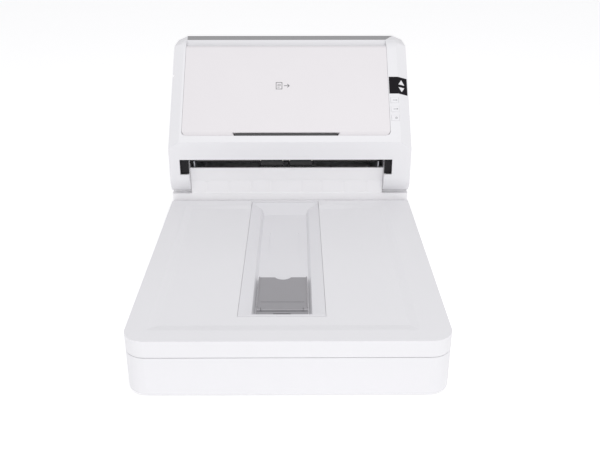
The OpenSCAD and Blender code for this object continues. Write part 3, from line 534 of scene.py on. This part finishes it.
@dataclass
class FlatbedBase:
    """The tub and the plinth that carries the feeder."""

    edge: float = 2.2 * MM
    lip: float = 0.5 * MM
    plinth_edge: float = 1.6 * MM
    plinth_front: float = 9.5 * MM

    def build(self, shelf: Finishes) -> list[bpy.types.Object]:
        """Builds the tub and the plinth."""
        low, high = node_box("base_tub")
        tub = rounded_copy("base_tub", "tub_shell", "base", [
            Rounding(self.edge, lambda m, a: m.z < low.z + NEAR and a > 60
                     and self.at_outline(m, low, high), 4),
            Rounding(self.lip, lambda m, a: m.z > high.z - NEAR and a > 60, 2)])
        p_low, p_high = node_box("rear_plinth")
        plinth = rounded_copy("rear_plinth", "plinth_shell", "base", [
            Rounding(self.plinth_edge, lambda m, a: m.z > p_high.z - NEAR and a > 60
                     and self.at_outline(m, p_low, p_high, self.plinth_front), 4)])
        # The plinth's lighter white is painted light, for a face that gets less light
        for piece, key in ((tub, "white_plastic"), (plinth, "painted_light_plastic")):
            shelf.dress(piece, key)
        return [tub, plinth]

    @staticmethod
    def at_outline(middle: Vector, low: Vector, high: Vector, front: float = 0.0) -> bool:
        """Whether a place lies near the outer outline, corners included."""
        reach = 9.0 * MM
        return (middle.x < low.x + reach or middle.x > high.x - reach
                or middle.y < low.y + front + reach or middle.y > high.y - reach)


@dataclass
class FlatbedLid:
    """The lid's shell, its paper channel and the flip-up stop."""

    rim: float = 1.6 * MM
    dish_blend: float = 3.0 * MM
    lower_rim: float = 0.5 * MM
    channel_blend: float = 1.4 * MM
    bracket_edge: float = 0.35 * MM
    stop_edge: float = 0.3 * MM

    def build(self, shelf: Finishes) -> list[bpy.types.Object]:
        """Builds the lid's visible pieces."""
        low, high = node_box("lid_shell")
        shell = rounded_copy("lid_shell", "lid_skin", "lid", [
            Rounding(self.dish_blend, lambda m, a: 4 < a < 20 and m.z > high.z - 3 * MM
                     and m.y < high.y - 10 * MM, 4),
            Rounding(self.rim, lambda m, a: m.z > high.z - NEAR and a > 60
                     and FlatbedBase.at_outline(m, low, high), 4),
            Rounding(self.lower_rim, lambda m, a: m.z < low.z + NEAR and a > 60
                     and FlatbedBase.at_outline(m, low, high), 2)])
        channel = rounded_copy("channel_insert", "channel_trough", "lid", [
            Rounding(self.channel_blend, lambda m, a: 12 < a < 80 and m.z > low.z + 6.6 * MM, 4)])
        bracket = rounded_copy("stop_bracket", "stop_hinge_block", "lid", [
            Rounding(self.bracket_edge, lambda m, a: a > 50, 2)])
        stop = rounded_copy("paper_stop", "stop_flap", "paper_stop", [
            Rounding(self.stop_edge, lambda m, a: a > 50, 2)])
        for piece, key in ((shell, "white_plastic"), (channel, "channel_plastic"),
                           (bracket, "grey_plastic"), (stop, "grey_plastic")):
            shelf.dress(piece, key)
        return [shell, channel, bracket, stop]


@dataclass
class RearHousing:
    """The fixed back of the feeder and the chute that the sheets leave by."""

    edge: float = 2.0 * MM
    wall: float = 3.0 * MM
    chute_edge: float = 0.55 * MM
    chute_front: float = 99.0 * MM

    def build(self, shelf: Finishes) -> list[bpy.types.Object]:
        """Builds the housing and the chute."""
        low, high = node_box("rear_housing")
        housing = rounded_copy("rear_housing", "housing_shell", "base", [
            Rounding(self.edge, lambda m, a: a > 12 and m.z > low.z + 5 * MM
                     and (m.y > high.y - 26 * MM and m.z > high.z - 14 * MM or m.y > high.y - 14 * MM)
                     and (abs(m.x) > high.x - 15 * MM or m.z > high.z - 14 * MM)
                     and not self.inside(m, high, self.wall), 3)])
        chute = rounded_copy("exit_chute", "chute_front", "base", [
            Rounding(self.chute_edge, lambda m, a: a > 40 and m.y < self.chute_front, 3)])
        # The chute's lighter white is painted light, for a face that gets less light
        for piece, key in ((housing, "white_plastic"), (chute, "painted_light_plastic")):
            shelf.dress(piece, key)
        # The grey on the level top is painted shade
        self.paint_top_shade(housing, high.z, shelf)
        return [housing, chute]

    @staticmethod
    def paint_top_shade(housing: bpy.types.Object, top: float, shelf: Finishes) -> None:
        """Paints shade on the level top between the ears: its upward faces get a grey that stands for the
        darker look of a top seen at a grazing angle.
        """
        housing.data.materials.append(shelf.materials["top_shade_plastic"])
        for face in housing.data.polygons:
            middle = face.center
            if face.normal.z > 0.96 and middle.z > top - 0.3 * MM and -141 * MM < middle.x < 131 * MM:
                face.material_index = 1

    @staticmethod
    def inside(middle: Vector, high: Vector, wall: float) -> bool:
        """Whether a place is on the inner side of the walls or at a cooling slot."""
        slot = abs(middle.x) < 80 * MM and middle.z < high.z - 30 * MM
        return slot or (abs(middle.x) < high.x - wall and middle.z < high.z - 12 * MM)


@dataclass
class FeederDoor:
    """The tilting front of the feeder, with its keys, window and prints."""

    edge: float = 1.4 * MM
    slot_edge: float = 0.6 * MM
    key_edge: float = 0.25 * MM
    face_half: float = 143.0 * MM
    key_proud: float = 0.3
    tip_radius: float = 0.75 * MM
    tip_places: tuple[float, ...] = (-39.0, -9.4, -0.6, 29.0)
    tip_y: float = 87.6 * MM
    tip_z: float = 121.6 * MM
    slope: Slope = field(default_factory=Slope)

    def build(self, shelf: Finishes) -> list[bpy.types.Object]:
        """Builds the door's shell, its keys with their signs, and the tips in the slot."""
        low, _ = node_box("door_shell")
        shell = rounded_copy("door_shell", "door_skin", "front_door", [
            Rounding(self.edge, lambda m, a: a > 12 and abs(m.x) > self.face_half, 3),
            Rounding(self.slot_edge, lambda m, a: a > 50 and abs(m.x) < self.face_half
                     and m.y < low.y + 3 * MM, 3)])
        made = [shell]
        shelf.dress(shell, "white_plastic")
        for node in ("cancel_button", "scan_button", "power_button", "up_button", "down_button"):
            cap = rounded_copy(node, node + "_cap", node, [
                Rounding(self.key_edge, lambda m, a: a > 50, 3)])
            shelf.dress(cap, "white_plastic")
            made.append(cap)
        return made + self.marks(shelf) + [self.slot_pins(shelf)]

    def marks(self, shelf: Finishes) -> list[bpy.types.Object]:
        """Prints a plain sign on the cancel, scan and power keys: a cross bar, a sheet with an arrow, a
        power ring.
        """
        out = self.key_proud
        cancel = Printing(self.slope.face(139.6, 61.9, out)).bar(0, 0, 5.6, 0.55).bar(2.2, 0, 0.55, 1.5)
        scan = Printing(self.slope.face(139.6, 48.5, out)).bar(-0.5, 0, 4.6, 0.55).bar(2.4, 0.1, 1.2, 1.3)
        power = Printing(self.slope.face(140.2, 35.4, out)).ring(0, 0, 1.25, 0.45, 70).bar(0, 0.9, 0.45, 1.5)
        return [cancel.finish("cancel_mark", "cancel_button", shelf, "ink"),
                scan.finish("scan_mark", "scan_button", shelf, "ink"),
                power.finish("power_mark", "power_button", shelf, "ink")]

    def slot_pins(self, shelf: Finishes) -> bpy.types.Object:
        """Four small pale tips over the exit rollers' ends."""
        bm = bmesh.new()
        for x in self.tip_places:
            bmesh.ops.create_uvsphere(bm, u_segments=16, v_segments=10, radius=self.tip_radius,
                                      matrix=Matrix.Translation((x * MM, self.tip_y, self.tip_z)))
        piece = finish_mesh("slot_tips", bm, "front_door", weighted=False)
        shelf.dress(piece, "pulley_plastic")
        return piece


@dataclass
class InputTray:
    """The folding tray that closes over the feeder's face."""

    slope: Slope = field(default_factory=Slope)

    def build(self, shelf: Finishes) -> list[bpy.types.Object]:
        """Builds the tray's shell."""
        panel = rounded_copy("tray_panel", "tray_skin", "input_tray", [
            Rounding(0.7 * MM, lambda m, a: a > 20, 3)])
        shelf.dress(panel, "tray_plastic")
        return [panel, self.sign(shelf)]

    def sign(self, shelf: Finishes) -> bpy.types.Object:
        """Prints a plain sheet-and-arrow sign near the middle of the tray."""
        sign = Printing(self.slope.face(-8.5, 84.0))
        for y in (-5.0, 5.0):
            sign.bar(-6.0, y, 8.6, 0.8)
        for x in (-9.9, -2.1):
            sign.bar(x, 0, 0.8, 10.8)
        for y, width in ((2.2, 4.6), (0.0, 4.6), (-2.2, 3.0)):
            sign.bar(-6.8 + width / 2 - 1.5, y, width, 0.7)
        sign.bar(4.0, 0, 7.0, 0.9).bar(6.3, 1.3, 3.8, 0.9, -42).bar(6.3, -1.3, 3.8, 0.9, 42)
        return sign.finish("tray_sign", "input_tray", shelf, "ink")


class Workings:
    """Everything that keeps the mechanical model's own mesh."""

    # The grip trim's near-black finish is painted shade: it lays the finger recess's shade into the trim's
    # colour
    SPECIAL = {"grip_trim": "grip_shade_plastic"}  # Nodes whose finish differs from their slot's

    def dress(self, shelf: Finishes) -> int:
        """Gives every node its finish; nodes that a copy stands for are hidden later.

        Args:
            shelf: The finishes.

        Returns:
            How many nodes were dressed.
        """
        slots = {row["node"]: row["material_slot"] for row in frame["record"]["subparts"]}
        for name, piece in frame["nodes"].items():
            shelf.dress(piece, self.SPECIAL.get(name, slots[name]))
        return len(frame["nodes"])


@dataclass
class Studio:
    """Pale floor, soft light and the camera."""

    focal: float = 46.08
    place: tuple[float, float, float] = (0.008, -0.8687, 0.4661)
    pitch: float = 24.64
    yaw: float = 0.31

    def build(self) -> None:
        """Sets up the floor, the light and the camera."""
        self.floor()
        self.light()
        self.camera()

    def floor(self) -> None:
        """A wide pale floor that glows a little, so that shadows stay soft."""
        bm = bmesh.new()
        bmesh.ops.create_grid(bm, x_segments=1, y_segments=1, size=12.0)
        mesh = bpy.data.meshes.new("floor")
        bm.to_mesh(mesh)
        bm.free()
        floor = bpy.data.objects.new("floor", mesh)
        bpy.context.scene.collection.objects.link(floor)
        graph = Graph("pale_floor")
        graph.set(Base_Color=(0.92, 0.92, 0.92, 1), Roughness=0.9,
                  Emission_Color=(1, 1, 1, 1), Emission_Strength=0.30)
        floor.data.materials.append(graph.material)

    def light(self) -> None:
        """An even bright room, a broad lamp far in front and a smaller one above."""
        world = bpy.data.worlds.new("bright_room")
        world.use_nodes = True
        back = world.node_tree.nodes["Background"]
        back.inputs[0].default_value = (0.985, 0.985, 1.0, 1)
        back.inputs[1].default_value = 0.70
        bpy.context.scene.world = world
        self.lamp("front_softbox", (0.9, -6.0, 1.6), 4.0, 36.0)
        self.lamp("top_softbox", (0.1, -0.8, 1.5), 0.9, 7.5)

    def lamp(self, name: str, place: Sequence[float], size: float, power: float) -> None:
        """A square area lamp that looks at the machine's middle."""
        data = bpy.data.lights.new(name, "AREA")
        data.size = size
        data.energy = power
        lamp = bpy.data.objects.new(name, data)
        lamp.location = place
        aim = Vector((0, 0, 0.1)) - Vector(place)
        lamp.rotation_euler = aim.to_track_quat("-Z", "Y").to_euler()
        bpy.context.scene.collection.objects.link(lamp)

    def camera(self) -> None:
        """The camera, looking down at the front of the machine."""
        data = bpy.data.cameras.new("camera")
        data.lens = self.focal
        data.clip_start = 0.01
        camera = bpy.data.objects.new("camera", data)
        camera.location = self.place
        camera.rotation_euler = (math.radians(90 - self.pitch), 0, math.radians(-self.yaw))
        bpy.context.scene.collection.objects.link(camera)
        bpy.context.scene.camera = camera
        bpy.context.scene.view_settings.view_transform = "Standard"


def main() -> None:
    """Builds the looks in order and reports each piece."""
    logging.basicConfig(level=logging.INFO, format="%(name)s: %(message)s")
    shelf = Finishes()
    LOG.info("dressed %d nodes", Workings().dress(shelf))
    for assembly in (FlatbedBase(), FlatbedLid(), RearHousing(), FeederDoor(), InputTray()):
        for piece in assembly.build(shelf):
            LOG.info("%s: %s, %d faces", type(assembly).__name__, piece.name, len(piece.data.polygons))
    Studio().build()


if __name__ == "__main__":
    main()
